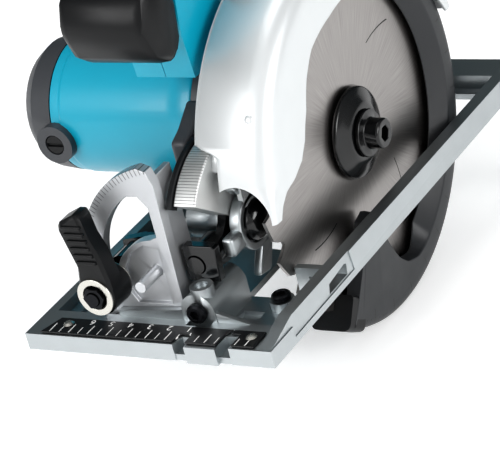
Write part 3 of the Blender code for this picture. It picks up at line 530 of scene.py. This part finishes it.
def case_skin():
    """The blade cover: at each angle an outline with a wide outer round, whose face ends at a lip set by the angle."""
    angles = np.linspace(12.5, 176.8, 150)
    lip = between(
        angles, (12, 88), (27.8, 81.4), (47.2, 73.6), (72.6, 67), (102.3, 65.5), (120.4, 67.2), (131.8, 64.8),
        (143, 61.2), (155.1, 61.2), (162.6, 64.4), (167.7, 71.4), (170, 79), (173.4, 84), (177, 87),
    )
    left = 28.6 - 11.0 * smooth((angles - 92) / 8) * smooth((159 - angles) / 3)
    wall = between(angles, (12, 60), (30, 30), (60, 25), (150, 25), (177, 66))
    rows = []
    for edge, side, low in zip(lip, left, wall):
        outer = [(28.8, low), (28.8, 71), (side, 70), (side, 93), (55, 93), (55, edge)]
        inner = [(53.3, edge), (53.3, 89.5), (31, 89.5), (31, low)]
        rows.append(rounded(outer + inner, [0.3, 1, 3, 3.5, 11, 0.9, 0.4, 5.5, 2, 0.3], 9))
    profiles = np.array(rows)
    x, r = profiles[..., 0], profiles[..., 1]
    # Two low steps run round the outside near its left edge.
    outside = smooth((r - 90.5) / 1.5)
    r -= outside * (1.1 * smooth((25.5 - x) / 1.0) + 0.9 * smooth((21.5 - x) / 1.0))
    skin = swept_x("case_skin", SPIN, angles, profiles, "blade_case", PAINT, 40)
    carve(skin, np.array([38.0, -110.0, 47.0]), np.array([38.0, -82.0, 47.0]), 15.2)


def depth_lugs():
    """The sector, barrel, pivot ring, tab and arm that the cover carries at the depth hinge."""
    sector = np.linspace(60.5, 143.8, 64)
    outline = rounded([(14, 2), (14, 40), (25, 40), (25, 2)], [0.3, 1.0, 1.0, 0.3], 5)
    swept_x("depth_sector", DEPTH, sector, np.repeat(outline[None], 64, axis=0), "blade_case", SECTOR, 50)
    barrel = rounded([(4.4, 0.2), (9, 0.2), (9, 17.2), (4.4, 17.2)], [0.3, 1, 1, 0.3])
    turned_x("depth_barrel", DEPTH, barrel, "blade_case", CAST, 72)
    ring = rounded([(10, 25.3), (13.5, 25.3), (13.5, 31), (10, 31)], [0.3, 1.2, 1.2, 0.6])
    turned_x("depth_ring", DEPTH, ring, "blade_case", CAST, 96)
    tab = [(-97.8, 29), (-86.5, 29), (-84, 36), (-86.5, 38), (-97.8, 38)]
    slab("depth_tab", tab, 25.3, 30.9, 1.6, "blade_case", CAST)
    slab("depth_fin", [(-84, 12), (-74, 10), (-66, 24), (-76, 24.5)], 27, 31, 1, "blade_case", CAST)
    arm = [(-90, 66), (-88, 72), (-50, 104), (-20, 102), (-22, 86), (-44, 66), (-50, 38), (-60, 40), (-66, 54)]
    slab("case_arm", arm, 18.4, 30, 2, "blade_case", PAINT)
    web = [(-82, 51), (-86, 56), (-58, 61), (-52, 40), (-60, 34), (-64, 44), (-72, 50)]
    slab("case_web", web, 25.2, 30.3, 1, "blade_case", CAST)
    tie = [(-77, 46), (-83, 62), (-83, 76), (-75, 79), (-63, 87), (-57, 78), (-60, 60), (-66, 40)]
    slab("case_tie", tie, 1.5, 10.2, 2.5, "blade_case", GREY)


def band_skin():
    """The rubber band outside the sector: one small outline carried through 58 degrees."""
    outline = rounded([(10.7, 35.5), (10.7, 41), (13.6, 41), (13.6, 35.5)], [0.5, 1.2, 0.8, 0.5])
    swept_x("band_skin", DEPTH, np.linspace(88, 146, 40), np.repeat(outline[None], 40, axis=0), "sector_band", RUBBER)


def case_dimple():
    """A low dome on the cover: its radius is a cosine and its height a sine of one angle, along the outward radius."""
    turn = np.linspace(0, 2 * np.pi, 32, endpoint=False)[None, :]
    rise = np.radians(np.linspace(0, 82, 8))[:, None]
    across = 2.3 * np.cos(rise) * np.cos(turn)
    along = 2.3 * np.cos(rise) * np.sin(turn)
    out = 92.2 + 1.3 * np.sin(rise) + 0 * turn
    phi = math.radians(148.8)
    y = SPIN[0] + out * math.cos(phi) - along * math.sin(phi)
    z = SPIN[1] + out * math.sin(phi) + along * math.cos(phi)
    grid("case_dimple", np.stack([45.6 + across, y, z], axis=-1), "blade_case", PAINT, 60)


def lever_ribs():
    """Six grip ribs across the front of the bevel lever, each a little further left as they go up."""
    half, thick = 5.0, 0.9
    for i in range(6):
        x, z = -22.0 - 0.62 * i, 43.0 + 3.4 * i
        outline = [(x - half, z - thick), (x + half, z - thick), (x + half, z + thick), (x - half, z + thick)]
        slab(f"lever_rib_{i + 1}", outline, -130.9, -128, 0.5, "bevel_lever", BLACK, 0.6, "y")


def clamp_ring():
    """A bright ring round the clamp nut: a small outline of (radius, y) turned once about the clamp's Y axis."""
    outline = rounded([(5.9, -130.9), (8.9, -130.9), (8.9, -130.0), (5.9, -130.0)], [0.2, 0.3, 0.2, 0.2])
    turn = np.linspace(0, 2 * np.pi, 72, endpoint=False)[:, None]
    r, y = outline[None, :, 0], outline[None, :, 1]
    points = np.stack(np.broadcast_arrays(CLAMP[0] + r * np.cos(turn), y, CLAMP[1] + r * np.sin(turn)), axis=-1)
    grid("clamp_ring", points, "bevel_lever", ZINC, 40, ring=True)


def rip_numbers():
    """White figures on the rip scales, a centimetre apart, read from the front of the saw."""
    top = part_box("scale_left")[1][2] / MM - 0.01
    for i in range(1, 7):
        curve = bpy.data.curves.new(f"figure_{i}", "FONT")
        curve.body = str(i)
        curve.size = 5.2 * MM
        curve.extrude = 0.03 * MM
        curve.align_x = "CENTER"
        held = bpy.data.objects.new(f"figure_{i}", curve)
        bpy.context.scene.collection.objects.link(held)
        graph = bpy.context.evaluated_depsgraph_get()
        mesh = bpy.data.meshes.new_from_object(held.evaluated_get(graph))
        bpy.data.objects.remove(held)
        place = Matrix.Translation(Vector((27.0 - 10.0 * i, -122.6, top)) * MM)
        mesh.transform(place @ Matrix.Rotation(math.pi, 4, "Z"))
        add_piece(mesh, "scale_left", f"figure_{i}", WHITE)


saw_blade()
outer_flange()
motor_shell()
guard_skin()
case_skin()
depth_lugs()
band_skin()
case_dimple()
lever_ribs()
clamp_ring()
rip_numbers()
CASE_PIECES = [
    "case_skin", "depth_sector", "depth_barrel", "depth_ring", "depth_tab", "depth_fin", "case_arm", "case_web",
    "case_tie", "case_dimple",
]
for replaced, pieces in (
    ("blade", ["blade_disc"]),
    ("outer_flange", ["outer_flange_disc"]),
    ("motor_housing", ["motor_skin"]),
    ("lower_guard", ["guard_skin", "guard_lip"]),
    ("blade_case", CASE_PIECES),
    ("sector_band", ["band_skin"]),
):
    for piece in pieces:
        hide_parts(replaced)

# Width in millimetres of the rounds on each node that keeps its CAD shape.
WIDTHS = {
    "shoe": 0.7, "bevel_quadrant": 0.6, "tilt_bracket": 0.8, "bevel_lever": 0.9, "bevel_nut": 0.4,
    "motor_end_cap": 1.2, "gear_housing": 1.0, "handle_left": 1.6, "handle_right": 1.6, "front_grip": 1.0,
    "battery_case": 0.8, "depth_pin": 0.8, "blade_bolt": 0.5, "scale_left": 0.2, "scale_right": 0.2,
    "bevel_hinge_plate": 0.5, "shaft_lock": 0.8, "trigger": 0.8, "depth_lever": 1.0, "battery_button": 0.8,
    "brush_cap_front": 0.4, "brush_cap_rear": 0.4, "quadrant_screw": 0.3, "fence_screw": 0.3, "bevel_washer": 0.3,
    "depth_guide": 0.5,
}
for name, width in WIDTHS.items():
    softened(name, width)
for name, obj in frame["nodes"].items():
    obj.data.materials.clear()
    obj.data.materials.append(finish_of(name))


# ---------------------------------------------------------------- stage


def floor():
    """A pale floor just under the shoe, which glows a little so that it stays near white."""
    made, tree, shader, where = material("pale studio floor")
    patches = add(tree, "TexNoise", {"Vector": where, "Scale": 1 / (60.0 * MM), "Detail": 2.0})[0]
    feed(tree, shader, {
        "Base Color": add(tree, "Mix", {0: patches, 6: linear("#fbfbfb"), 7: linear("#f4f4f4")}, data_type="RGBA")[2],
        "Roughness": 0.6,
        "Emission Color": (1.0, 1.0, 1.0, 1.0),
        "Emission Strength": 0.35,
    })
    mesh = bpy.data.meshes.new("floor")
    z = SIZE["start"][0][2] - 0.5 * MM
    mesh.from_pydata([(-6, -6, z), (6, -6, z), (6, 6, z), (-6, 6, z)], [], [(0, 1, 2, 3)])
    mesh.materials.append(made)
    obj = bpy.data.objects.new("floor", mesh)
    bpy.context.scene.collection.objects.link(obj)
    obj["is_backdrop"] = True


def softbox(name, at, size, power):
    """A white rectangular light that faces the saw."""
    data = bpy.data.lights.new(name, "AREA")
    data.shape = "RECTANGLE"
    data.size, data.size_y = size
    data.energy = power
    obj = bpy.data.objects.new(name, data)
    obj.location = at
    obj.rotation_euler = (Vector((0, 0, 0.05)) - Vector(at)).to_track_quat("-Z", "Y").to_euler()
    bpy.context.scene.collection.objects.link(obj)


def sky():
    """A room that is bright in front and grey behind, so that upright faces shine and level ones stay darker."""
    world = bpy.data.worlds.new("studio")
    bpy.context.scene.world = world
    world.use_nodes = True
    tree = world.node_tree
    back = next(n for n in tree.nodes if n.type == "BACKGROUND")
    axes = add(tree, "SeparateXYZ", (add(tree, "TexCoord")["Generated"],))
    rightward = add(tree, "Math", (axes[0], 0.45), operation="MULTIPLY")[0]
    facing = add(tree, "Math", (rightward, axes[1]), operation="SUBTRACT")[0]
    bright = add(tree, "MapRange", {"Value": facing, "From Min": -0.7, "From Max": 0.7})[0]
    room = add(tree, "Mix", {0: bright, 6: linear("#4a5254"), 7: linear("#d4d4d4")}, data_type="RGBA")[2]
    eye = add(tree, "LightPath")["Is Camera Ray"]
    seen = add(tree, "Mix", {0: eye, 6: room, 7: linear("#ffffff")}, data_type="RGBA")[2]
    feed(tree, back, {"Color": seen, "Strength": 1.0})


def camera():
    """A long lens from the front right: its axes come from a turn about Z, a tip down, and a roll about the view."""
    turn, down, roll = math.radians(35.79), math.radians(26.1), math.radians(-14.98)
    forward = np.array([-math.sin(turn) * math.cos(down), math.cos(turn) * math.cos(down), -math.sin(down)])
    right = np.array([math.cos(turn), math.sin(turn), 0.0])
    up = np.cross(right, forward)
    side = math.cos(roll) * right + math.sin(roll) * up
    top = -math.sin(roll) * right + math.cos(roll) * up
    data = bpy.data.cameras.new("camera")
    data.lens, data.sensor_width = 180.7, 36.0
    data.shift_x, data.shift_y = 0.0028, -0.0006
    data.clip_start, data.clip_end = 0.05, 30
    obj = bpy.data.objects.new("camera", data)
    matrix = Matrix.Identity(4)
    for row in range(3):
        matrix[row][0], matrix[row][1], matrix[row][2] = side[row], top[row], -forward[row]
    matrix[0][3], matrix[1][3], matrix[2][3] = 0.5954, -0.8655, 0.5099
    obj.matrix_world = matrix
    bpy.context.scene.collection.objects.link(obj)
    bpy.context.scene.camera = obj


floor()
sky()
camera()
softbox("front_box", (-0.5, -1.3, 0.7), (0.9, 0.7), 9)
softbox("right_box", (1.5, -0.3, 0.6), (0.8, 0.8), 12)
softbox("top_box", (-0.2, 0.1, 1.5), (0.8, 0.8), 5)
bpy.context.scene.view_settings.view_transform = "Standard"
bpy.context.scene.view_settings.look = "Medium High Contrast"

SIZE["end"] = [list(map(float, corner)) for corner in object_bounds()]
